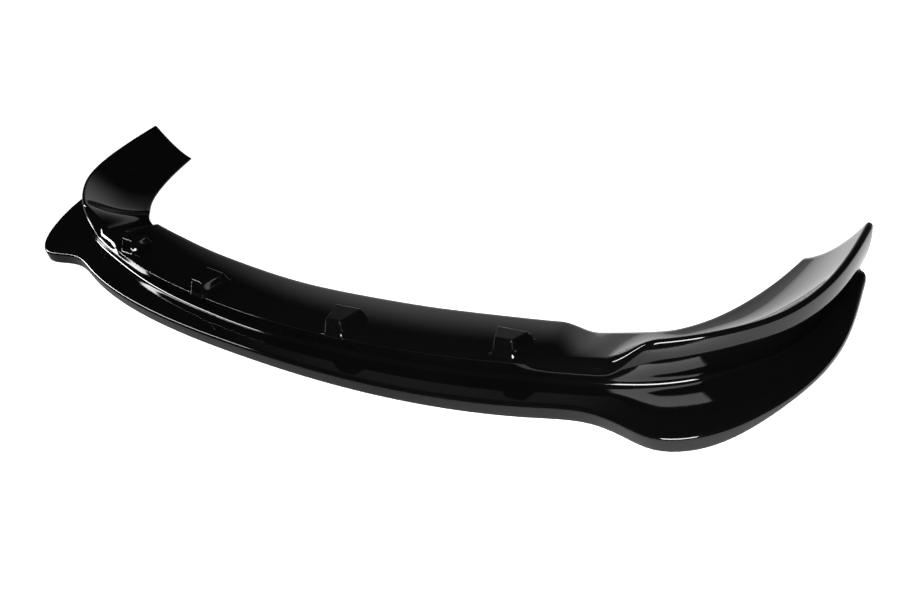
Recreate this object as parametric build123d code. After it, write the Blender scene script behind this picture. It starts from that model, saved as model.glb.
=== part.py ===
from build123d import *
from math import asin, cos, degrees, radians, sin, sqrt, tan
from typing import NamedTuple
import os

# Front splitter lip: one moulded sheet, open below, in millimetres.
# X runs across the car, Y towards its rear, Z up. Plan lines start at the front edge, on the middle.

# Sheet and its bends
sheet = 3.5
edge_radius = 5.0
crease_radius = 6.0
shelf_top_radius = 21.0
flange_top_radius = 6.0
wall_lean = 6.0
tip_wall_lean = -11.0
wall_curl = 13.0

# Heights of the top side above the rim that the lip stands on
skirt_height = 24.0
blade_dip = 7.0
tip_blade_dip = 3.0
shelf_height = 46.5
shelf_edge_height = 36.0
notch_edge_height = 17.5
flange_height = 87.0
skirt_lift = 16.0

# Bulge of the shelf between wall and rear edge, and hollow of the end flange
shelf_crown = 5.0
flange_hollow = 14.0

# Plan lines of the right half, from the middle to past the tip
front_line = [(0, 0), (371, 23), (560, 66), (645, 86), (700, 79.5), (738, 75.5), (785, 93.5),
              (850, 167), (884, 243), (899, 345), (889, 450), (883, 500), (882, 600)]
wall_line = [(0, 54), (184, 62.5), (369, 85), (568, 130), (653, 155), (726, 191), (786, 238),
             (830, 290), (858, 364), (867, 450), (867, 560)]
rear_line = [(0, 174), (167, 182.5), (299, 196), (415, 214.5), (528, 236), (580, 252), (640, 287),
             (695, 335), (738, 405), (763, 473), (790, 600)]

# Where the form changes, measured along the wall line from the middle
ramp_start = 638.0
ramp_length = 85.0
drop_start = 548.0
drop_length = 58.0
hollow_start = 600.0
hollow_length = 180.0
lift_start = 735.0
lift_length = 150.0
lean_start = 660.0
lean_length = 440.0

# Trim of the tips: the flange ends square, and the wall's end leans forward to its foot
tip_depth = 533.0
wall_end_lean = 29.0
tip_trim_width = 45.0

# Hollow bosses that locate the lip under the bumper: the middle of each top's front edge in plan
boss_places = [(178.0, 76.0), (478.0, 132.5)]
boss_top_lengths = [44.0, 31.0]
boss_turn = 4.5
boss_front_width = 29.0
boss_back_width = 54.0
boss_front_height = 69.0
boss_back_height = 66.5
boss_foot_height = 32.0
boss_front_spread = 10.0
boss_side_spread = 6.5
boss_back_spread = 8.0
boss_radius = 3.0

# Sections of the loft from the middle to one tip
half_sections = 36

cut_margin = 40.0
end_margin = 1.0


class Bend(NamedTuple):
    """A round bend of a section: the centre, both ends and the middle of its arc."""
    centre: Vector
    start: Vector
    middle: Vector
    end: Vector

    def parallel(self, offset):
        """The bend that runs an offset outside this one."""
        radius = (self.start - self.centre).length
        scale = (radius + offset) / radius
        points = [self.centre + (point - self.centre) * scale for point in self[1:]]
        return Bend(self.centre, *points)


class Section(NamedTuple):
    """The sheet's top side square to the wall line: its place, and points of distance and height."""
    origin: Vector
    inward: Vector
    rim: Vector
    edge: Bend
    crease: Bend
    wall: Vector
    top: Bend
    control: Vector
    rear: Vector

    def place(self, point):
        """A point of the section in the part's frame."""
        return self.origin + self.inward * point.X + Vector(0, 0, point.Y)


def mix(first, last, share):
    """Value between two others."""
    return first + (last - first) * share


def blend(distance, start, length):
    """Smooth step from 0 to 1 over a length of the wall line."""
    share = min(max((distance - start) / length, 0.0), 1.0)
    return share * share * (3 - 2 * share)


def plan_curve(points):
    """Plan line through its points and their mirror images."""
    left = [(-x, y) for x, y in reversed(points[1:])]
    return Spline(*left, *points)


front_curve = plan_curve(front_line)
wall_curve = plan_curve(wall_line)
rear_curve = plan_curve(rear_line)


def plan_point(distance):
    """Point of the wall line, and the level direction from there into the part."""
    share = 0.5 + distance / wall_curve.length
    along = wall_curve.tangent_at(share)
    return wall_curve.position_at(share), Vector(-along.Y, along.X)


def reach(curve, point, direction):
    """How far a plan line lies from a point in a direction."""
    crossings = curve.find_intersection_points(Axis(point, direction))
    distances = [(crossing - point).dot(direction) for crossing in crossings]
    return min(distance for distance in distances if distance > 0)


def round_corner(before, corner, after, radius):
    """Bend between two straight runs that meet at a corner."""
    back = (before - corner).normalized()
    ahead = (after - corner).normalized()
    middle = (back + ahead).normalized()
    half_cos = back.dot(middle)
    half_sin = sqrt(1 - half_cos ** 2)
    centre = corner + middle * (radius / half_sin)
    run = radius * half_cos / half_sin
    return Bend(centre, corner + back * run, centre - middle * radius, corner + ahead * run)


def round_wall_top(foot, height, radius, lean, curl, control):
    """Bend from the leaning, outward curled wall over its top and on towards a control point."""
    start_height = height - radius + radius * sin(lean + curl)
    start = Vector(foot.X + (start_height - foot.Y) * tan(lean), start_height)
    centre = start + Vector(cos(lean + curl), -sin(lean + curl)) * radius
    to_centre = centre - control
    turn = asin(radius / to_centre.length)
    run = sqrt(to_centre.length ** 2 - radius ** 2)
    end = control + to_centre.normalized().rotate(Axis.Z, -degrees(turn)) * run
    middle = ((start - centre) + (end - centre)).normalized()
    return Bend(centre, start, centre + middle * radius, end)


def section_at(distance):
    """The top side of the sheet at a distance along the wall line."""
    rise = blend(abs(distance), ramp_start, ramp_length)
    drop = blend(abs(distance), drop_start, drop_length)
    dish = blend(abs(distance), hollow_start, hollow_length)
    lift = blend(abs(distance), lift_start, lift_length)
    lean = radians(mix(wall_lean, tip_wall_lean, blend(abs(distance), lean_start, lean_length)))
    origin, inward = plan_point(distance)
    blade = reach(front_curve, origin, inward * -1)
    depth = reach(rear_curve, origin, inward)
    top_height = mix(shelf_height, flange_height, rise)
    edge_height = mix(shelf_edge_height, notch_edge_height, drop)
    rear = Vector(depth, mix(edge_height, sheet, dish))
    bulge = mix(shelf_crown, -flange_hollow, dish)
    control = Vector(depth / 2, mix(top_height, rear.Y, 0.5) + 2 * bulge)
    rim = Vector(-blade, skirt_lift * lift)
    edge = Vector(-blade, skirt_height)
    crease = Vector(0, skirt_height - mix(blade_dip, tip_blade_dip, lift))
    top_radius = mix(shelf_top_radius, flange_top_radius, rise)
    curl = radians(wall_curl * rise)
    top = round_wall_top(crease, top_height, top_radius, lean, curl, control)
    wall_foot = Vector(tan(lean - curl), 1)
    foot = round_corner(edge, crease, crease + wall_foot, crease_radius)
    wall = foot.end + wall_foot * ((top.start.Y - foot.end.Y) / 2)
    return Section(
        origin, inward, rim,
        round_corner(rim, edge, crease, edge_radius),
        foot, wall, top, control, rear)


def sunk(before, corner, after, depth):
    """A steering point moved into the sheet, at the same depth under both of its runs."""
    run_in = (corner - before).normalized()
    run_out = (after - corner).normalized()
    down = Vector(run_in.Y + run_out.Y, -run_in.X - run_out.X)
    return corner + down * (depth / (1 + run_in.dot(run_out)))


def shelf_below(section, depth):
    """Wall top, control point and rear end of the shelf at a depth inside the sheet."""
    run = (section.rear - section.control).normalized()
    control = sunk(section.top.end, section.control, section.rear, depth)
    return section.top.parallel(-depth), control, section.rear + Vector(run.Y, -run.X) * depth


def place_line(section, *points):
    """Straight run of a section."""
    return Line(*[section.place(point) for point in points])


def place_arc(section, bend):
    """Round bend of a section."""
    return ThreePointArc(*[section.place(point) for point in bend[1:]])


def place_curve(section, *points):
    """Bulged or hollow run of a section, steered by its middle point."""
    return Bezier(*[section.place(point) for point in points])


def section_wire(section):
    """Closed outline of the sheet: along its top side and back along the underside."""
    edge = section.edge.parallel(-sheet)
    crease = section.crease.parallel(sheet)
    wall = sunk(section.crease.end, section.wall, section.top.start, sheet)
    top, control, rear = shelf_below(section, sheet)
    rim = section.rim + Vector(sheet, 0)
    return Wire([
        place_line(section, section.rim, section.edge.start),
        place_arc(section, section.edge),
        place_line(section, section.edge.end, section.crease.start),
        place_arc(section, section.crease),
        place_curve(section, section.crease.end, section.wall, section.top.start),
        place_arc(section, section.top),
        place_curve(section, section.top.end, section.control, section.rear),
        place_line(section, section.rear, rear),
        place_curve(section, rear, control, top.end),
        place_arc(section, top),
        place_curve(section, top.start, wall, crease.end),
        place_arc(section, crease),
        place_line(section, crease.start, edge.end),
        place_arc(section, edge),
        place_line(section, edge.start, rim),
        place_line(section, rim, section.rim)])


def space_wire(section):
    """Outline of the space under the shelf, bounded above by the middle of the sheet."""
    top, control, rear = shelf_below(section, sheet / 2)
    rear_foot = Vector(rear.X, -cut_margin)
    wall_foot = Vector(top.start.X, -cut_margin)
    return Wire([
        place_arc(section, top),
        place_curve(section, top.end, control, rear),
        place_line(section, rear, rear_foot),
        place_line(section, rear_foot, wall_foot),
        place_line(section, wall_foot, top.start)])


def make_sheet():
    """The bent sheet from tip to tip, lofted through sections square to the wall line."""
    step = (wall_curve.length / 2 - end_margin) / half_sections
    places = range(-half_sections, half_sections + 1)
    return Solid.make_loft([section_wire(section_at(i * step)) for i in places], ruled=True)


def boss_block(length, inset):
    """Drafted block, narrower at the front and the top; the inset gives the hollow inside."""
    def ring(spread, front, back, front_height, back_height):
        front_half = boss_front_width / 2 + spread - inset
        back_half = boss_back_width / 2 + spread - inset
        corners = [(-front_half, front + inset, front_height), (front_half, front + inset, front_height),
                   (back_half, back - inset, back_height), (-back_half, back - inset, back_height)]
        return Face(Wire.make_polygon(corners))

    foot = ring(boss_side_spread, -boss_front_spread, length + boss_back_spread,
                boss_foot_height, boss_foot_height)
    top = ring(0, 0, length, boss_front_height - inset, boss_back_height - inset)
    return loft([foot, top], ruled=True)


def space_under_boss(x):
    """Space under the shelf around a boss, which trims the boss to the middle of the sheet."""
    share = wall_curve.param_at_point(wall_curve.find_intersection_points(Axis((x, 0), (0, 1)))[0])
    middle = (share - 0.5) * wall_curve.length
    places = [middle + step * boss_back_width for step in (-1, -0.5, 0, 0.5, 1)]
    return Solid.make_loft([space_wire(section_at(place)) for place in places], ruled=True)


def add_bosses(lip):
    """Raise the hollow bosses from the shelf, open below."""
    for (x, y), length in zip(boss_places, boss_top_lengths):
        block = boss_block(length, 0)
        block = fillet(block.edges() - block.faces().sort_by(Axis.Z)[0].edges(), boss_radius)
        hollow = boss_block(length, sheet)
        for side in (-1, 1):
            frame = Pos(side * x, y, 0) * Rot(0, 0, side * boss_turn)
            lip = lip + (frame * block - space_under_boss(side * x)) - frame * hollow
    return lip


def trim_tips(lip):
    """Cut both tips square behind, with the wall's end leaning forward to its foot."""
    far = tip_depth + 2 * cut_margin
    high = flange_height + cut_margin
    half_width = max(x for x, y in front_line) + cut_margin
    tip_x = wall_line[-1][0]
    square = Pos(0, tip_depth, -cut_margin) * Box(
        2 * half_width, far - tip_depth, high + cut_margin, align=(Align.CENTER, Align.MIN, Align.MIN))
    lip = lip - square
    foot_depth = tip_depth - wall_end_lean
    slant = [(tip_depth, high), (tip_depth, flange_height), (foot_depth, skirt_height),
             (foot_depth, -cut_margin), (far, -cut_margin), (far, high)]
    profile = Face(Wire.make_polygon([(0, y, z) for y, z in slant]))
    wedge = extrude(profile, tip_trim_width, dir=(1, 0, 0))
    for start in (tip_x - flange_top_radius, flange_top_radius - tip_x - tip_trim_width):
        lip = lip - Pos(start, 0, 0) * wedge
    return lip


os.makedirs("parts", exist_ok=True)
splitter_lip = Pos(0, -tip_depth / 2, 0) * trim_tips(add_bosses(make_sheet()))
export_step(splitter_lip, "parts/splitter_lip.step")
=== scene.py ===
from math import pi, radians
from types import SimpleNamespace

import bpy
import numpy as np
from mathutils import Matrix, Vector


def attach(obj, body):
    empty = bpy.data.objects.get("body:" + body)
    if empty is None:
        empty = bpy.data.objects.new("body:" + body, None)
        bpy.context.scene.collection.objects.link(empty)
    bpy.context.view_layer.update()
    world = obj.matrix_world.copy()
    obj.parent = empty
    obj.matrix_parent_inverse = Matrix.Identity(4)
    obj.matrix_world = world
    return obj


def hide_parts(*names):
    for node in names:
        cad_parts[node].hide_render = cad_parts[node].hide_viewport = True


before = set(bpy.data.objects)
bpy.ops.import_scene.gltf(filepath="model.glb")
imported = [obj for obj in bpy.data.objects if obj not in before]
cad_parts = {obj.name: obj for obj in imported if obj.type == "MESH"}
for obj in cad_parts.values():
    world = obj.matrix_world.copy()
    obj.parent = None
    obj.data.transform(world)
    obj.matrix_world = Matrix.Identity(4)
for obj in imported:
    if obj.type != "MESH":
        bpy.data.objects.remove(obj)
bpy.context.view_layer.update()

# Sizes of the moulding in millimetres, as in the solid: X across the car, Y from the front edge, Z up
MM = 0.001
SHEET = 3.5
EDGE_RADIUS = 5.0
SHELF_TOP_RADIUS = 21.0
FLANGE_TOP_RADIUS = 6.0
WALL_LEAN = radians(6.0)
TIP_WALL_LEAN = radians(-11.0)
WALL_CURL = radians(13.0)
SKIRT_HEIGHT = 24.0
BLADE_DIP = 7.0
TIP_BLADE_DIP = 3.0
SHELF_HEIGHT = 46.5
SHELF_EDGE_HEIGHT = 36.0
NOTCH_EDGE_HEIGHT = 17.5
FLANGE_HEIGHT = 87.0
SKIRT_LIFT = 16.0
SHELF_CROWN = 5.0
FLANGE_HOLLOW = 14.0
FRONT_LINE = [(0, 0), (371, 23), (560, 66), (645, 86), (700, 79.5), (738, 75.5), (785, 93.5),
              (850, 167), (884, 243), (899, 345), (889, 450), (883, 500), (882, 600)]
WALL_LINE = [(0, 54), (184, 62.5), (369, 85), (568, 130), (653, 155), (726, 191), (786, 238),
             (830, 290), (858, 364), (867, 450), (867, 560)]
REAR_LINE = [(0, 174), (167, 182.5), (299, 196), (415, 214.5), (528, 236), (580, 252), (640, 287),
             (695, 335), (738, 405), (763, 473), (790, 600)]
RAMP_START, RAMP_LENGTH = 638.0, 85.0
DROP_START, DROP_LENGTH = 548.0, 58.0
HOLLOW_START, HOLLOW_LENGTH = 600.0, 180.0
LIFT_START, LIFT_LENGTH = 735.0, 150.0
LEAN_START, LEAN_LENGTH = 660.0, 440.0
TIP_DEPTH = 533.0
WALL_END_LEAN = 29.0

# Shapes finer than the solid's: the crease, rounded ends, and a corner over the middle of the step wall
CREASE_RADIUS, TIP_CREASE_RADIUS = 8.0, 2.5
BLADE_END_ROUND = 27.0
BLADE_EDGE_SHARE, BLADE_CREASE_SHARE = 0.7, 0.5
TIP_ROUND = 6.0
SHELF_CORNER = radians(38.0)
SHELF_CORNER_ROUND = 0.35
SHELF_CORNER_END, SHELF_CORNER_FADE = 480.0, 90.0

# Hollow bosses, placed by the middle of each top's front edge; fronts lean more than the solid's
BOSS_PLACES = [(178.0, 76.0), (478.0, 132.5)]
BOSS_TOP_LENGTHS = [44.0, 31.0]
BOSS_TURN = radians(4.5)
BOSS_FRONT_WIDTH, BOSS_BACK_WIDTH = 29.0, 54.0
BOSS_FRONT_HEIGHT, BOSS_BACK_HEIGHT = 70.0, 65.5
BOSS_FOOT_HEIGHT = 32.0
BOSS_FRONT_SPREAD, BOSS_SIDE_SPREAD, BOSS_BACK_SPREAD = 18.5, 6.5, 8.0
BOSS_EDGE_ROUND = 1.5
BOSS_FOOT_ROUND = 1.2
BOSS_WIDTH_REACH = (-0.25, 1.2)
BOSS_FOOT_REACH = (-0.1, 1.1)

# Mesh spacing along the wall line and across the section
LINE_STEP = 9.0
FLANK_STEP = 0.8
ROW_STEP = 1.2
TABLE_STEP = 2.0
END_SHIFT_LENGTH = 90.0
EVEN_ROWS = {"skirt": 3, "edge": 8, "blade": 12, "crease": 8, "wall": 10}
SHELF_FROM, SHELF_TO = 19.6, 120.0
BOSS_FRONT_ROWS_END = 30.0
BOSS_BACK_ROWS_FROM, BOSS_BACK_ROWS_TO = 50.0, 70.0
ROW_GAP = 2.0
FLANK_INSIDE, FLANK_OUTSIDE, FLANK_REST = 3.0, 7.0, 25.0
PULL_SIDE, PULL_SIDE_FADE = 8.0, 26.0
PULL_FRONT, PULL_FRONT_FADE = -24.0, 12.0
PULL_BACK, PULL_BACK_FADE = 10.0, 24.0

# Trim edges of the sheet
TRIM_ROUND = 0.7
TRIM_ANGLE = radians(60.0)
SHARP_ANGLE = radians(50.0)


def mix(first, last, share):
    """Value between two others."""
    return first + (last - first) * share


def smooth_step(value, start, length):
    """Smooth step from 0 to 1 over a length."""
    share = np.clip((value - start) / length, 0.0, 1.0)
    return share * share * (3 - 2 * share)


def unit(vectors):
    """Vectors of length one."""
    return vectors / np.linalg.norm(vectors, axis=-1, keepdims=True)


def pair(first, second):
    """Points of a section from their distances and heights."""
    return np.stack(np.broadcast_arrays(first, second), axis=-1).astype(float)


def plan_curve(points, count=4001):
    """Smooth line through plan points and their mirror images, as closely spaced points."""
    right = np.array(points, float)
    knots = np.vstack([right[:0:-1] * (-1, 1), right])
    place = np.concatenate([[0], np.cumsum(np.linalg.norm(np.diff(knots, axis=0), axis=1))])
    gap = np.diff(place)[:, None]
    slope = np.diff(knots, axis=0) / gap
    size = len(knots)
    system = np.eye(size)
    wanted = np.zeros((size, 2))
    for i in range(1, size - 1):
        system[i, i - 1:i + 2] = gap[i - 1, 0], 2 * (gap[i - 1, 0] + gap[i, 0]), gap[i, 0]
        wanted[i] = 6 * (slope[i] - slope[i - 1])
    curve = np.linalg.solve(system, wanted)
    samples = np.linspace(0, place[-1], count)
    i = np.clip(np.searchsorted(place, samples) - 1, 0, size - 2)
    ahead = (place[i + 1] - samples)[:, None]
    behind = (samples - place[i])[:, None]
    length = gap[i]
    return ((curve[i] * ahead ** 3 + curve[i + 1] * behind ** 3) / (6 * length)
            + (knots[i] / length - curve[i] * length / 6) * ahead
            + (knots[i + 1] / length - curve[i + 1] * length / 6) * behind)


def reach(curve, points, directions):
    """How far a plan line lies from each point in its direction."""
    offset = curve[None] - points[:, None]
    across = offset[..., 0] * -directions[:, None, 1] + offset[..., 1] * directions[:, None, 0]
    along = np.sum(offset * directions[:, None], axis=-1)
    crossing = across[:, :-1] * across[:, 1:] <= 0
    share = across[:, :-1] / (across[:, :-1] - across[:, 1:] + 1e-12)
    distance = mix(along[:, :-1], along[:, 1:], share)
    return np.min(np.where(crossing & (distance > 0), distance, np.inf), axis=1)


class WallLine:
    """Table along the wall line: its place, the direction into the part, blade width and depth."""

    def __init__(self):
        curve = plan_curve(WALL_LINE)
        length = np.concatenate([[0], np.cumsum(np.linalg.norm(np.diff(curve, axis=0), axis=1))])
        half = length[-1] / 2
        self.distance = np.arange(-half, half, TABLE_STEP)
        place = [np.interp(self.distance + half, length, curve[:, k]) for k in (0, 1)]
        self.x, self.y = place
        along = unit(np.stack([np.gradient(self.x), np.gradient(self.y)], axis=1))
        self.inward = np.stack([-along[:, 1], along[:, 0]], axis=1)
        points = np.stack(place, axis=1)
        self.blade = reach(plan_curve(FRONT_LINE, 2001), points, -self.inward)
        self.depth = reach(plan_curve(REAR_LINE, 2001), points, self.inward)

    def at(self, values, distance):
        """Values of one column at any distances."""
        return np.interp(distance, self.distance, values)

    def distance_at_depth(self, depth):
        """Distance from the middle at which the right half reaches a depth."""
        right = self.distance > 0
        return np.interp(depth, self.y[right], self.distance[right])


wall_line = WallLine()


def bend_between(before, corner, after, radius):
    """Centre and the two end directions of a round bend between two straight runs."""
    back = unit(before - corner)
    ahead = unit(after - corner)
    middle = unit(back + ahead)
    half_cos = np.sum(back * middle, axis=-1, keepdims=True)
    half_sin = np.sqrt(1 - half_cos ** 2)
    centre = corner + middle * radius / half_sin
    run = radius * half_cos / half_sin
    return centre, unit(corner + back * run - centre), unit(corner + ahead * run - centre)


def bend_over_wall(foot, height, radius, lean, curl, control):
    """Centre and end directions of the bend from the curled wall over its top to a control point."""
    start = pair(-np.cos(lean + curl), np.sin(lean + curl))
    start_height = height - radius + radius * np.sin(lean + curl)
    distance = foot[..., 0] + (start_height - foot[..., 1]) * np.tan(lean)
    centre = pair(distance, start_height) - start * radius[..., None]
    to_centre = centre - control
    span = np.linalg.norm(to_centre, axis=-1)
    turn = -np.arcsin(radius / span)
    run = np.sqrt(span ** 2 - radius ** 2)
    aim = unit(to_centre)
    turned = pair(aim[..., 0] * np.cos(turn) - aim[..., 1] * np.sin(turn),
                  aim[..., 0] * np.sin(turn) + aim[..., 1] * np.cos(turn))
    return centre, start, unit(control + turned * run[..., None] - centre)


def sweep(start, end, share):
    """Directions that turn evenly from one to another."""
    first = np.arctan2(start[..., 1], start[..., 0])
    turn = np.arctan2(end[..., 1], end[..., 0]) - first
    turn = (turn + pi) % (2 * pi) - pi
    angle = first + turn * share
    return pair(np.cos(angle), np.sin(angle))


def left_of(direction):
    """Direction turned a quarter to the left, which is outside along the top side."""
    return pair(-direction[..., 1], direction[..., 0])


def section_at(distance):
    """Bends and end points of the section's top side at distances along the wall line."""
    place = np.abs(distance)
    rise = smooth_step(place, RAMP_START, RAMP_LENGTH)
    drop = smooth_step(place, DROP_START, DROP_LENGTH)
    dish = smooth_step(place, HOLLOW_START, HOLLOW_LENGTH)
    lift = smooth_step(place, LIFT_START, LIFT_LENGTH)
    lean = mix(WALL_LEAN, TIP_WALL_LEAN, smooth_step(place, LEAN_START, LEAN_LENGTH))
    blade = wall_line.at(wall_line.blade, distance)
    depth = wall_line.at(wall_line.depth, distance)
    top_height = mix(SHELF_HEIGHT, FLANGE_HEIGHT, rise)
    radius = mix(SHELF_TOP_RADIUS, FLANGE_TOP_RADIUS, rise)
    edge_height = mix(SHELF_EDGE_HEIGHT, NOTCH_EDGE_HEIGHT, drop)
    rear = pair(depth, mix(edge_height, SHEET, dish))
    bulge = mix(SHELF_CROWN, -FLANGE_HOLLOW, dish)
    control = pair(depth / 2, (top_height + rear[..., 1]) / 2 + 2 * bulge)
    rim = pair(-blade, SKIRT_LIFT * lift)
    edge = pair(-blade, SKIRT_HEIGHT)
    crease = pair(0 * blade, SKIRT_HEIGHT - mix(BLADE_DIP, TIP_BLADE_DIP, lift))
    curl = WALL_CURL * rise
    top = bend_over_wall(crease, top_height, radius, lean, curl, control)
    wall_top = top[0] + top[1] * radius[..., None]
    wall_way = pair(np.tan(lean - curl), 1)
    crease_radius = mix(CREASE_RADIUS, TIP_CREASE_RADIUS, lift)[..., None]
    foot = bend_between(edge, crease, crease + wall_way, crease_radius)
    wall_foot = foot[0] + foot[2] * crease_radius
    wall_middle = wall_foot + wall_way * (wall_top - wall_foot)[..., 1:] / 2
    return SimpleNamespace(
        rim=rim, radius=radius[..., None], top=top, crease=foot, crease_radius=crease_radius,
        firm=1 - smooth_step(place, SHELF_CORNER_END, SHELF_CORNER_FADE),
        wall=(wall_foot, wall_middle, wall_top),
        shelf=(top[0] + top[2] * radius[..., None], control, rear),
        edge=bend_between(rim, edge, crease, EDGE_RADIUS))


def straight(start, end, share):
    """Points along a straight run, and the direction out of the sheet."""
    out = left_of(unit(end - start))
    return mix(start, end, share[..., None]), out


def bulged(run, share):
    """Points along a curved run steered by its middle point, and the direction out of the sheet."""
    share = share[..., None]
    first, middle, last = run
    points = first * (1 - share) ** 2 + middle * 2 * share * (1 - share) + last * share ** 2
    tangent = (middle - first) * (1 - share) + (last - middle) * share
    return points, left_of(unit(tangent))


def over_wall(section, out):
    """Points of the bend over the wall in given directions, drawn to a corner between its ends."""
    centre, start, end = section.top
    first = np.arctan2(start[..., 1], start[..., 0])
    last = np.arctan2(end[..., 1], end[..., 0])
    turn = np.arctan2(out[..., 1], out[..., 0])
    corner = last + SHELF_CORNER
    radius = section.radius[..., 0]
    peak = radius / np.cos(SHELF_CORNER)
    lower = radius * peak * np.sin(first - corner)
    lower = lower / (radius * np.sin(first - turn) + peak * np.sin(turn - corner))
    firm = soft_min([radius / np.cos(turn - last), lower], SHELF_CORNER_ROUND)
    return centre + out * mix(radius, firm, section.firm)[..., None]


def section_part(section, name, share):
    """Points of one part of the section's top side, and the directions out of the sheet there."""
    edge_centre, edge_start, edge_end = section.edge
    crease_centre, crease_start, crease_end = section.crease
    top_start, top_end = section.top[1:]
    share = np.broadcast_to(share, section.radius.shape[:-1])
    if name == "skirt":
        return straight(section.rim, edge_centre + edge_start * EDGE_RADIUS, share)
    if name == "edge":
        out = sweep(edge_start, edge_end, share)
        return edge_centre + out * EDGE_RADIUS, out
    if name == "blade":
        last = crease_centre + crease_start * section.crease_radius
        return straight(edge_centre + edge_end * EDGE_RADIUS, last, share)
    if name == "crease":
        out = sweep(crease_start, crease_end, share)
        return crease_centre + out * section.crease_radius, -out
    if name == "wall":
        return bulged(section.wall, share)
    if name == "top":
        out = sweep(top_start, top_end, share)
        return over_wall(section, out), out
    return bulged(section.shelf, share)


def roof(section, offset):
    """Points over the wall's top and the shelf at distances from the wall line, and directions out."""
    first, control, rear = [point[..., 0] for point in section.shelf]
    square = first - 2 * control + rear
    slope = 2 * (control - first)
    rest = first - np.maximum(offset, first)
    share = -2 * rest / (slope + np.sqrt(np.maximum(slope ** 2 - 4 * square * rest, 0)))
    points, out = bulged(section.shelf, np.clip(share, 0, 1))
    aside = np.clip((offset - section.top[0][..., 0]) / section.radius[..., 0], -1, 1)
    round_out = pair(aside, np.sqrt(1 - aside ** 2))
    on_bend = (offset < first)[..., None]
    return (np.where(on_bend, over_wall(section, round_out), points),
            np.where(on_bend, round_out, out))


def soft_min(values, radius):
    """Least of several heights, with rounded corners."""
    return -radius * np.log(sum(np.exp(-np.clip(value, -90, 900) / radius) for value in values))


class Boss:
    """A hollow boss: its place on the wall line, and the heights of its faces over the floor."""

    def __init__(self, side, place, length):
        self.length = length
        self.origin = np.array((side * place[0], place[1]))
        turn = side * BOSS_TURN
        self.across = np.array((np.cos(turn), np.sin(turn)))
        self.back = np.array((-np.sin(turn), np.cos(turn)))
        line = np.stack([wall_line.x, wall_line.y], axis=1)
        nearest = np.argmin(np.linalg.norm(line - self.origin, axis=1))
        inward = wall_line.inward[nearest]
        along = np.array((inward[1], -inward[0]))
        gap = self.origin - line[nearest]
        self.distance = wall_line.distance[nearest] + gap @ along
        self.offset = gap @ inward
        self.lean = turn - np.arctan2(along[1], along[0])
        self.middle_half = (BOSS_FRONT_WIDTH + BOSS_BACK_WIDTH) / 4

    def half_width(self, back):
        """Half the top's width at a distance behind its front edge."""
        return mix(BOSS_FRONT_WIDTH, BOSS_BACK_WIDTH, np.clip(back / self.length, *BOSS_WIDTH_REACH)) / 2

    def foot_half_width(self, back):
        """Half the foot's width at a distance behind the top's front edge."""
        run = BOSS_FRONT_SPREAD + self.length + BOSS_BACK_SPREAD
        share = np.clip((back + BOSS_FRONT_SPREAD) / run, *BOSS_FOOT_REACH)
        return mix(BOSS_FRONT_WIDTH, BOSS_BACK_WIDTH, share) / 2 + BOSS_SIDE_SPREAD

    def height(self, plan, inset):
        """Height of the boss's faces at plan points; the inset gives the hollow inside."""
        side = np.abs((plan - self.origin) @ self.across)
        back = (plan - self.origin) @ self.back
        plate = mix(BOSS_FRONT_HEIGHT, BOSS_BACK_HEIGHT, np.clip(back / self.length, 0, 1)) - inset
        rise = (BOSS_FRONT_HEIGHT - BOSS_FOOT_HEIGHT) / BOSS_FRONT_SPREAD
        front = BOSS_FOOT_HEIGHT + (back + BOSS_FRONT_SPREAD - inset) * rise
        rise = (BOSS_BACK_HEIGHT - BOSS_FOOT_HEIGHT) / BOSS_BACK_SPREAD
        rear = BOSS_FOOT_HEIGHT + (self.length + BOSS_BACK_SPREAD - inset - back) * rise
        foot = self.foot_half_width(back)
        rise = (plate + inset - BOSS_FOOT_HEIGHT) / (foot - self.half_width(back))
        flank = BOSS_FOOT_HEIGHT + (foot - inset - side) * rise
        return soft_min([plate, front, rear, flank], BOSS_EDGE_ROUND)

    def pull(self, distance, offset):
        """Shift of mesh points along and across the part, so that mesh lines follow the boss's edges."""
        side = distance - self.distance
        back = offset - self.offset
        wide = side * self.half_width(back) / self.middle_half
        along = self.distance + wide * np.cos(self.lean) - back * np.sin(self.lean)
        across = self.offset + wide * np.sin(self.lean) + back * np.cos(self.lean)
        weight = 1 - smooth_step(np.abs(side), self.middle_half + PULL_SIDE, PULL_SIDE_FADE)
        weight = weight * smooth_step(back, PULL_FRONT, PULL_FRONT_FADE)
        weight = weight * (1 - smooth_step(back, self.length + PULL_BACK, PULL_BACK_FADE))
        return weight * (along - distance), weight * (across - offset)


bosses = [Boss(side, place, length)
          for side in (-1, 1)
          for place, length in zip(BOSS_PLACES, BOSS_TOP_LENGTHS)]


def raise_bosses(plan, height, inset):
    """Heights of the shelf with the bosses on it, their feet rounded."""
    for boss in bosses:
        lift = np.clip((boss.height(plan, inset) - height) / BOSS_FOOT_ROUND, -60, 60)
        height = height + BOSS_FOOT_ROUND * np.log1p(np.exp(lift))
    return height


def mesh_lines():
    """Distances of the mesh lines: even, and close together at the flanks of the bosses."""
    end = wall_line.distance_at_depth(TIP_DEPTH)
    lines = list(np.linspace(-end, end, int(2 * end / LINE_STEP)))
    for boss in bosses:
        flank = np.arange(boss.middle_half - FLANK_INSIDE, boss.middle_half + FLANK_OUTSIDE, FLANK_STEP)
        inner = np.linspace(-flank[0], flank[0], 8)[1:-1]
        outer = np.linspace(flank[-1], flank[-1] + FLANK_REST, 7)[1:]
        offsets = np.concatenate([-outer[::-1], -flank[::-1], inner, flank, outer])
        lines = [line for line in lines if abs(line - boss.distance) > offsets[-1] + LINE_STEP / 2]
        lines += list(boss.distance + offsets)
    return np.array(sorted(lines))


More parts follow.
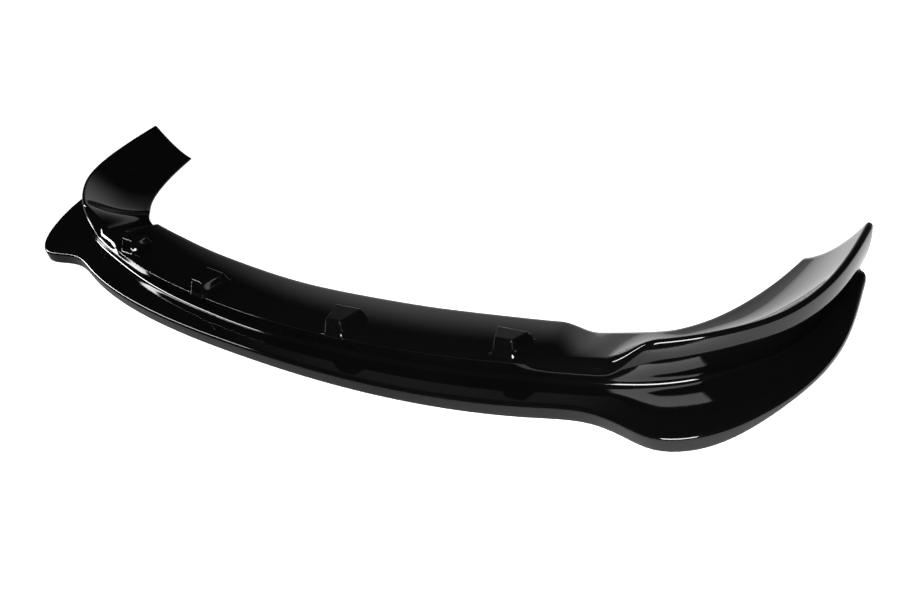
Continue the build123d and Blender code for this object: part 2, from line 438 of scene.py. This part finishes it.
def shelf_rows():
    """Shares across the shelf, close together at the fronts and backs of the bosses."""
    front = np.arange(SHELF_FROM, BOSS_FRONT_ROWS_END, ROW_STEP)
    middle = np.linspace(BOSS_FRONT_ROWS_END, BOSS_BACK_ROWS_FROM - ROW_GAP, 5)
    back = np.arange(BOSS_BACK_ROWS_FROM, BOSS_BACK_ROWS_TO, ROW_STEP)
    rest = np.linspace(BOSS_BACK_ROWS_TO + ROW_GAP, SHELF_TO, 9)
    return (np.concatenate([front, middle, back, rest]) - SHELF_FROM) / (SHELF_TO - SHELF_FROM)


def top_rows():
    """Shares over the wall's top, close together at the corner."""
    return np.concatenate([np.linspace(0, 0.4, 7), np.linspace(0.42, 0.62, 18), np.linspace(0.65, 0.97, 8)])


def end_shift(line, depth_at_tip):
    """Shift of mesh points along the part so that each row ends at its own depth at the tips."""
    end = wall_line.distance_at_depth(TIP_DEPTH)
    short = end - wall_line.distance_at_depth(depth_at_tip)
    return -np.sign(line) * short * smooth_step(np.abs(line), end - END_SHIFT_LENGTH, END_SHIFT_LENGTH)


def row_end(name, share):
    """Depth at which a row of the mesh ends at the tips; the blade's end is rounded across its width."""
    foot = TIP_DEPTH - WALL_END_LEAN
    aside = {"skirt": 1 + 0 * share,
             "edge": mix(BLADE_EDGE_SHARE, 1, np.cos(share * pi / 2)),
             "blade": mix(BLADE_EDGE_SHARE, BLADE_CREASE_SHARE, share),
             "crease": mix(BLADE_CREASE_SHARE, 0, share)}
    if name in aside:
        return foot - BLADE_END_ROUND * (1 - np.sqrt(1 - aside[name] ** 2))
    if name == "wall":
        return mix(foot, TIP_DEPTH - TIP_ROUND, share)
    if name == "top":
        return TIP_DEPTH - TIP_ROUND * (1 - share) ** 2
    return TIP_DEPTH + 0 * share


def skins():
    """Grids of points of the top side and of the underside, in metres."""
    lines = mesh_lines()[:, None]
    rows = {name: np.arange(count) / count for name, count in EVEN_ROWS.items()}
    rows["top"] = top_rows()
    rows["shelf"] = shelf_rows()
    top_side = []
    underside = []
    for name, shares in rows.items():
        share = shares[None, :]
        distance = lines + end_shift(lines, row_end(name, share))
        points, out = section_part(section_at(distance), name, share)
        on_roof = name in ("top", "shelf")
        if on_roof:
            offset = points[..., 0]
            shifts = [boss.pull(distance, offset) for boss in bosses]
            distance = distance + sum(along for along, across in shifts)
            points, out = section_part(section_at(distance), name, share)
        if name == "shelf":
            moved = sum(np.abs(across) for along, across in shifts) > 0
            offset = offset + sum(across for along, across in shifts)
            roof_points, roof_out = roof(section_at(distance), offset)
            points = np.where(moved[..., None], roof_points, points)
            out = np.where(moved[..., None], roof_out, out)
        place = pair(wall_line.at(wall_line.x, distance), wall_line.at(wall_line.y, distance))
        inward = unit(pair(*[wall_line.at(wall_line.inward[:, k], distance) for k in (0, 1)]))
        for grid, depth in ((top_side, 0.0), (underside, SHEET)):
            flat = points - out * depth
            plan = place + inward * flat[..., :1]
            height = flat[..., 1]
            if on_roof:
                height = raise_bosses(plan, height, depth)
            grid.append(np.concatenate([plan, height[..., None]], axis=-1))
    shift = np.array([0, -TIP_DEPTH / 2, 0])
    return [(np.concatenate(grid, axis=1) + shift) * MM for grid in (top_side, underside)]


def moulding_mesh():
    """Closed mesh of the sheet: both skins, joined along the rim, the rear edge and the tips."""
    top, under = skins()
    count, width = top.shape[:2]
    points = np.concatenate([top.reshape(-1, 3), under.reshape(-1, 3)])
    index = np.arange(count * width).reshape(count, width)
    below = index + count * width
    quads = [np.stack([index[:-1, :-1], index[1:, :-1], index[1:, 1:], index[:-1, 1:]], axis=-1),
             np.stack([below[:-1, :-1], below[:-1, 1:], below[1:, 1:], below[1:, :-1]], axis=-1)]
    border = np.concatenate([index[:, 0], index[-1, 1:], index[-2::-1, -1], index[0, -2:0:-1]])
    border = np.append(border, border[0])
    lower = border + count * width
    quads.append(np.stack([border[1:], border[:-1], lower[:-1], lower[1:]], axis=-1))
    faces = np.concatenate([quad.reshape(-1, 4) for quad in quads])
    mesh = bpy.data.meshes.new("splitter_lip_moulding")
    mesh.from_pydata(points.tolist(), [], faces.tolist())
    side = np.concatenate([np.zeros(count * width), np.ones(count * width)])
    mesh.attributes.new("underside", "FLOAT", "POINT").data.foreach_set("value", side)
    mesh.update()
    return mesh


def add_node(tree, kind, **inputs):
    """A shader node with its inputs set or linked."""
    node = tree.nodes.new(kind)
    for name, value in inputs.items():
        socket = node.inputs[name.replace("_", " ")]
        if isinstance(value, bpy.types.NodeSocket):
            tree.links.new(value, socket)
        else:
            socket.default_value = value
    return node


# Plastic: its darkest and lightest black, and the roughness of the gloss and of the satin underside
DARK_BLACK, LIGHT_BLACK = (0.0015, 0.0015, 0.0016, 1), (0.003, 0.003, 0.0032, 1)
GLOSS_LEAST, GLOSS_MOST = 0.03, 0.08
SATIN_LEAST, SATIN_MOST = 0.38, 0.55
HAZE_SCALE, PEEL_SCALE, GRAIN_SCALE = 7.0, 160.0, 1400.0
RELIEF_STRENGTH, RELIEF_DEPTH = 0.05, 0.0004
PLASTIC_IOR = 1.5


def gloss_black_plastic():
    """High-gloss black moulded plastic, with a grained satin underside."""
    material = bpy.data.materials.new("gloss_black_plastic")
    material.use_nodes = True
    tree = material.node_tree
    shader = tree.nodes["Principled BSDF"]
    place = tree.nodes.new("ShaderNodeTexCoord").outputs["Object"]
    side = tree.nodes.new("ShaderNodeAttribute")
    side.attribute_name = "underside"
    haze = add_node(tree, "ShaderNodeTexNoise", Vector=place, Scale=HAZE_SCALE, Detail=4.0).outputs["Fac"]
    peel = add_node(tree, "ShaderNodeTexNoise", Vector=place, Scale=PEEL_SCALE, Detail=2.0).outputs["Fac"]
    grain = add_node(tree, "ShaderNodeTexNoise", Vector=place, Scale=GRAIN_SCALE, Detail=3.0).outputs["Fac"]
    shine = add_node(tree, "ShaderNodeMapRange", Value=haze, To_Min=GLOSS_LEAST, To_Max=GLOSS_MOST)
    satin = add_node(tree, "ShaderNodeMapRange", Value=grain, To_Min=SATIN_LEAST, To_Max=SATIN_MOST)
    rough = tree.nodes.new("ShaderNodeMix")
    tree.links.new(side.outputs["Fac"], rough.inputs[0])
    tree.links.new(shine.outputs[0], rough.inputs[2])
    tree.links.new(satin.outputs[0], rough.inputs[3])
    tree.links.new(rough.outputs[0], shader.inputs["Roughness"])
    relief = tree.nodes.new("ShaderNodeMix")
    tree.links.new(side.outputs["Fac"], relief.inputs[0])
    tree.links.new(peel, relief.inputs[2])
    tree.links.new(grain, relief.inputs[3])
    bump = add_node(tree, "ShaderNodeBump", Strength=RELIEF_STRENGTH, Distance=RELIEF_DEPTH,
                    Height=relief.outputs[0])
    tree.links.new(bump.outputs["Normal"], shader.inputs["Normal"])
    tone = tree.nodes.new("ShaderNodeMix")
    tone.data_type = "RGBA"
    tree.links.new(haze, tone.inputs[0])
    tone.inputs[6].default_value = DARK_BLACK
    tone.inputs[7].default_value = LIGHT_BLACK
    tree.links.new(tone.outputs[2], shader.inputs["Base Color"])
    shader.inputs["IOR"].default_value = PLASTIC_IOR
    return material


def make_lip():
    """The moulding as one piece with rounded trim edges."""
    mesh = moulding_mesh()
    blank = bpy.data.objects.new("moulding_blank", mesh)
    bpy.context.collection.objects.link(blank)
    bevel = blank.modifiers.new("trim_round", "BEVEL")
    bevel.width = TRIM_ROUND * MM
    bevel.segments = 2
    bevel.limit_method = "ANGLE"
    bevel.angle_limit = TRIM_ANGLE
    shape = blank.evaluated_get(bpy.context.evaluated_depsgraph_get())
    finished = bpy.data.meshes.new_from_object(shape)
    finished.name = "splitter_lip_moulding_finished"
    bpy.data.objects.remove(blank)
    finished.polygons.foreach_set("use_smooth", [True] * len(finished.polygons))
    finished.set_sharp_from_angle(angle=SHARP_ANGLE)
    finished.materials.clear()
    finished.materials.append(gloss_black_plastic())
    lip = bpy.data.objects.new("lip_moulding", finished)
    bpy.context.collection.objects.link(lip)
    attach(lip, "root")
    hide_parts("splitter_lip")


# Camera of the photograph: its place, right and up in the part's frame, and its lens
CAMERA_PLACE = (1.18165, -0.63615 - TIP_DEPTH / 2 * MM, 0.88489)
CAMERA_RIGHT = Vector((0.79239, 0.56639, -0.22654))
CAMERA_UP = Vector((-0.19665, 0.58872, 0.78405))
FOCAL_PIXELS = 900.0
IMAGE_WIDTH = 920.0
SENSOR = 36.0


def add_camera():
    """Camera at the photograph's viewing angle."""
    data = bpy.data.cameras.new("camera")
    data.sensor_width = SENSOR
    data.lens = FOCAL_PIXELS * SENSOR / IMAGE_WIDTH
    camera = bpy.data.objects.new("camera", data)
    right = CAMERA_RIGHT.normalized()
    back = right.cross(CAMERA_UP).normalized()
    up = back.cross(right)
    turn = Matrix((right, up, back)).transposed()
    camera.matrix_world = Matrix.Translation(CAMERA_PLACE) @ turn.to_4x4()
    bpy.context.collection.objects.link(camera)
    bpy.context.scene.camera = camera


# Floor: half its width, its drop below the part, and the round patch that reflections see, with painted
# shade darker towards -X and a painted glow behind the part
FLOOR_HALF, FLOOR_DROP = 30.0, 0.0005
FLOOR_COLOUR, FLOOR_SEEN = (0.8, 0.8, 0.8, 1), 0.8
PATCH_CENTRE, PATCH_OUTSIDE, PATCH_INSIDE = (0.6, 1.2, 0.0), 2.9, 2.3
PAINTED_SHADE_FROM, PAINTED_SHADE_TO, PAINTED_SHADE_LEAST, PAINTED_SHADE_MOST = 0.3, 1.0, 0.3, 0.9
PAINTED_GLOW_FROM, PAINTED_GLOW_TO, PAINTED_GLOW_STRENGTH = -0.15, 0.15, 0.4
WHITE = (1, 1, 1, 1)


def add_floor():
    """Wide white floor that keeps the object's shadow; reflections see a patch of limited size, with painted
    shade darker towards -X and a painted glow behind the part.
    """
    mesh = bpy.data.meshes.new("floor")
    corners = [(FLOOR_HALF * x, FLOOR_HALF * y, 0) for x, y in ((-1, -1), (1, -1), (1, 1), (-1, 1))]
    mesh.from_pydata(corners, [], [(0, 1, 2, 3)])
    floor = bpy.data.objects.new("floor", mesh)
    floor.location.z = -FLOOR_DROP
    bpy.context.collection.objects.link(floor)
    material = bpy.data.materials.new("white_floor")
    material.use_nodes = True
    tree = material.node_tree
    tree.nodes.clear()
    output = tree.nodes.new("ShaderNodeOutputMaterial")
    path = tree.nodes.new("ShaderNodeLightPath")
    matt = add_node(tree, "ShaderNodeBsdfDiffuse", Color=FLOOR_COLOUR)
    seen = add_node(tree, "ShaderNodeEmission", Color=WHITE, Strength=FLOOR_SEEN)
    seen_matt = tree.nodes.new("ShaderNodeAddShader")
    tree.links.new(matt.outputs[0], seen_matt.inputs[0])
    tree.links.new(seen.outputs[0], seen_matt.inputs[1])
    far = add_node(tree, "ShaderNodeVectorMath")
    far.operation = "DISTANCE"
    place = tree.nodes.new("ShaderNodeTexCoord").outputs["Object"]
    tree.links.new(place, far.inputs[0])
    far.inputs[1].default_value = PATCH_CENTRE
    patch = add_node(tree, "ShaderNodeMapRange", Value=far.outputs["Value"],
                     From_Min=PATCH_OUTSIDE, From_Max=PATCH_INSIDE)
    patch.interpolation_type = "SMOOTHSTEP"
    across = tree.nodes.new("ShaderNodeSeparateXYZ")
    tree.links.new(place, across.inputs[0])
    # Painted shade: the floor that reflections see is darker towards -X
    painted_shade_by_x = add_node(tree, "ShaderNodeMapRange", Value=across.outputs["X"],
                    From_Min=PAINTED_SHADE_FROM, From_Max=PAINTED_SHADE_TO, To_Min=PAINTED_SHADE_LEAST, To_Max=PAINTED_SHADE_MOST)
    shade = add_node(tree, "ShaderNodeMath")
    shade.operation = "MULTIPLY"
    tree.links.new(patch.outputs[0], shade.inputs[0])
    tree.links.new(painted_shade_by_x.outputs[0], shade.inputs[1])
    white = add_node(tree, "ShaderNodeBsdfDiffuse", Color=shade.outputs[0])
    # Painted glow: the floor that reflections see glows brighter behind the part
    painted_glow_behind = add_node(tree, "ShaderNodeMapRange", Value=across.outputs["Y"],
                        From_Min=PAINTED_GLOW_FROM, From_Max=PAINTED_GLOW_TO, To_Max=PAINTED_GLOW_STRENGTH)
    glow = add_node(tree, "ShaderNodeEmission", Color=WHITE, Strength=painted_glow_behind.outputs[0])
    mirrored = tree.nodes.new("ShaderNodeAddShader")
    tree.links.new(white.outputs[0], mirrored.inputs[0])
    tree.links.new(glow.outputs[0], mirrored.inputs[1])
    first = add_node(tree, "ShaderNodeMixShader", Fac=path.outputs["Is Camera Ray"])
    tree.links.new(matt.outputs[0], first.inputs[1])
    tree.links.new(seen_matt.outputs[0], first.inputs[2])
    bright = add_node(tree, "ShaderNodeMath")
    bright.operation = "MAXIMUM"
    tree.links.new(path.outputs["Is Glossy Ray"], bright.inputs[0])
    tree.links.new(path.outputs["Is Transmission Ray"], bright.inputs[1])
    last = add_node(tree, "ShaderNodeMixShader", Fac=bright.outputs[0])
    tree.links.new(first.outputs[0], last.inputs[1])
    tree.links.new(mirrored.outputs[0], last.inputs[2])
    tree.links.new(last.outputs[0], output.inputs["Surface"])
    mesh.materials.append(material)


def add_softbox(name, place, target, along, width, length, power, on_floor):
    """Soft rectangular studio lamp with its length along a direction; on_floor adds its diffuse light."""
    data = bpy.data.lights.new(name, "AREA")
    data.shape = "RECTANGLE"
    data.size = width
    data.size_y = length
    data.energy = power
    lamp = bpy.data.objects.new(name, data)
    ahead = (Vector(target) - Vector(place)).normalized()
    side = ahead.cross(Vector(along)).normalized()
    turn = Matrix((side, side.cross(ahead), -ahead)).transposed()
    lamp.matrix_world = Matrix.Translation(place) @ turn.to_4x4()
    lamp.visible_diffuse = on_floor
    bpy.context.collection.objects.link(lamp)


def add_sun(name, way, strength, spread):
    """Even, soft light from one direction, without a highlight of its own."""
    data = bpy.data.lights.new(name, "SUN")
    data.energy = strength
    data.angle = radians(spread)
    lamp = bpy.data.objects.new(name, data)
    lamp.rotation_euler = (-Vector(way)).to_track_quat("-Z", "Y").to_euler()
    lamp.visible_glossy = False
    bpy.context.collection.objects.link(lamp)


# Backdrop of the world: its direction in plan, its fading sides and top, and the brightness around and in it
BACKDROP_HEADING = (-0.1736, 0.9848, 0.0)
BACKDROP_SIDE, BACKDROP_FULL = 0.7, 0.85
BACKDROP_TOP, BACKDROP_LOW = 0.63, 0.15
STUDIO_STRENGTH, BACKDROP_STRENGTH = 0.008, 0.45


def add_world():
    """Dark studio with a soft bright backdrop low behind the part; the camera itself sees white."""
    world = bpy.data.worlds.new("studio")
    world.use_nodes = True
    tree = world.node_tree
    background = tree.nodes["Background"]
    way = tree.nodes.new("ShaderNodeTexCoord").outputs["Generated"]
    height = tree.nodes.new("ShaderNodeSeparateXYZ")
    tree.links.new(way, height.inputs[0])
    low = add_node(tree, "ShaderNodeMapRange", Value=height.outputs["Z"],
                   From_Min=BACKDROP_TOP, From_Max=BACKDROP_LOW)
    low.interpolation_type = "SMOOTHSTEP"
    level = add_node(tree, "ShaderNodeVectorMath")
    level.operation = "MULTIPLY"
    tree.links.new(way, level.inputs[0])
    level.inputs[1].default_value = (1, 1, 0)
    heading = add_node(tree, "ShaderNodeVectorMath")
    heading.operation = "NORMALIZE"
    tree.links.new(level.outputs[0], heading.inputs[0])
    behind = add_node(tree, "ShaderNodeVectorMath")
    behind.operation = "DOT_PRODUCT"
    tree.links.new(heading.outputs[0], behind.inputs[0])
    behind.inputs[1].default_value = BACKDROP_HEADING
    side = add_node(tree, "ShaderNodeMapRange", Value=behind.outputs["Value"],
                    From_Min=BACKDROP_SIDE, From_Max=BACKDROP_FULL)
    side.interpolation_type = "SMOOTHSTEP"
    both = add_node(tree, "ShaderNodeMath")
    both.operation = "MULTIPLY"
    tree.links.new(low.outputs[0], both.inputs[0])
    tree.links.new(side.outputs[0], both.inputs[1])
    glow = add_node(tree, "ShaderNodeMapRange", Value=both.outputs[0],
                    To_Min=STUDIO_STRENGTH, To_Max=BACKDROP_STRENGTH)
    seen = add_node(tree, "ShaderNodeMath")
    seen.operation = "MAXIMUM"
    tree.links.new(glow.outputs[0], seen.inputs[0])
    tree.links.new(tree.nodes.new("ShaderNodeLightPath").outputs["Is Camera Ray"], seen.inputs[1])
    tree.links.new(seen.outputs[0], background.inputs["Strength"])
    background.inputs["Color"].default_value = WHITE
    bpy.context.scene.world = world


bpy.context.scene.view_settings.view_transform = "Standard"
make_lip()
add_camera()
add_floor()
add_world()
add_sun("overhead", way=(0.0, 0.1, 1.0), strength=0.8, spread=30.0)
add_softbox("softbox_left", place=(-3.7, -0.34, 1.83), target=(-0.3, -0.18, 0.02), along=(0.47, 0.0, 0.88),
            width=0.35, length=2.5, power=70.0, on_floor=False)
add_softbox("softbox_front", place=(1.25, -1.44, 1.37), target=(0.54, -0.13, 0.0), along=(0.88, 0.48, 0.0),
            width=0.75, length=1.2, power=75.0, on_floor=True)
